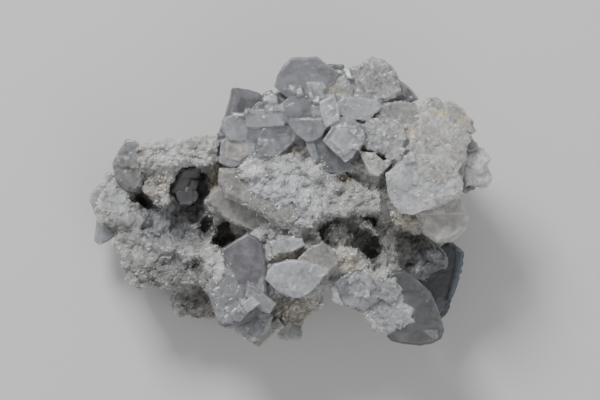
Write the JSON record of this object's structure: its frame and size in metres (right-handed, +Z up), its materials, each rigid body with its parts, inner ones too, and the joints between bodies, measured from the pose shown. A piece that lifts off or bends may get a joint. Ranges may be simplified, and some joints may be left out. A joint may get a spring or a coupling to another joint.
{
  "type": "barite with calcite specimen",
  "caption": "Cabinet specimen of pale tabular barite crystals on white drusy calcite with dark hollows, lying display face up on its flat cut back, to stand in a display case",
  "frame": {"origin": "middle of the flat sawn base", "axes": "+Z up through the display face, +X along the length towards the cream and blue-white crystals, +Y across towards the large top cluster"},
  "size_m": [0.122, 0.0866, 0.0491],
  "materials": {
    "milky_barite": "milky translucent crystal, satin",
    "smoky_barite": "smoky translucent crystal, glossy",
    "white_calcite": "white translucent crystal, satin",
    "drusy_calcite": "fine sugary crystal crust, glittering"
  },
  "bodies": {
    "root": {"calcite_matrix": "drusy_calcite", "calcite_blocks_right": "white_calcite", "barite_cluster_top": "milky_barite", "barite_cluster_right": "milky_barite", "barite_wedge_right": "milky_barite", "barite_smoky_sheet": "smoky_barite", "barite_cluster_lower_right": "milky_barite", "barite_lens_lower_centre": "milky_barite", "barite_small_shelf": "milky_barite", "barite_cluster_lower_left": "milky_barite", "barite_cluster_bottom": "milky_barite", "barite_vug_crystals": "smoky_barite", "barite_plate_centre": "milky_barite", "barite_ledge_centre": "milky_barite", "barite_tip_upper_left": "milky_barite", "barite_tip_left": "milky_barite", "barite_tip_lower_left": "milky_barite", "barite_plate_upper_left": "milky_barite", "barite_lens_left": "milky_barite"}
  },
  "joints": []
}
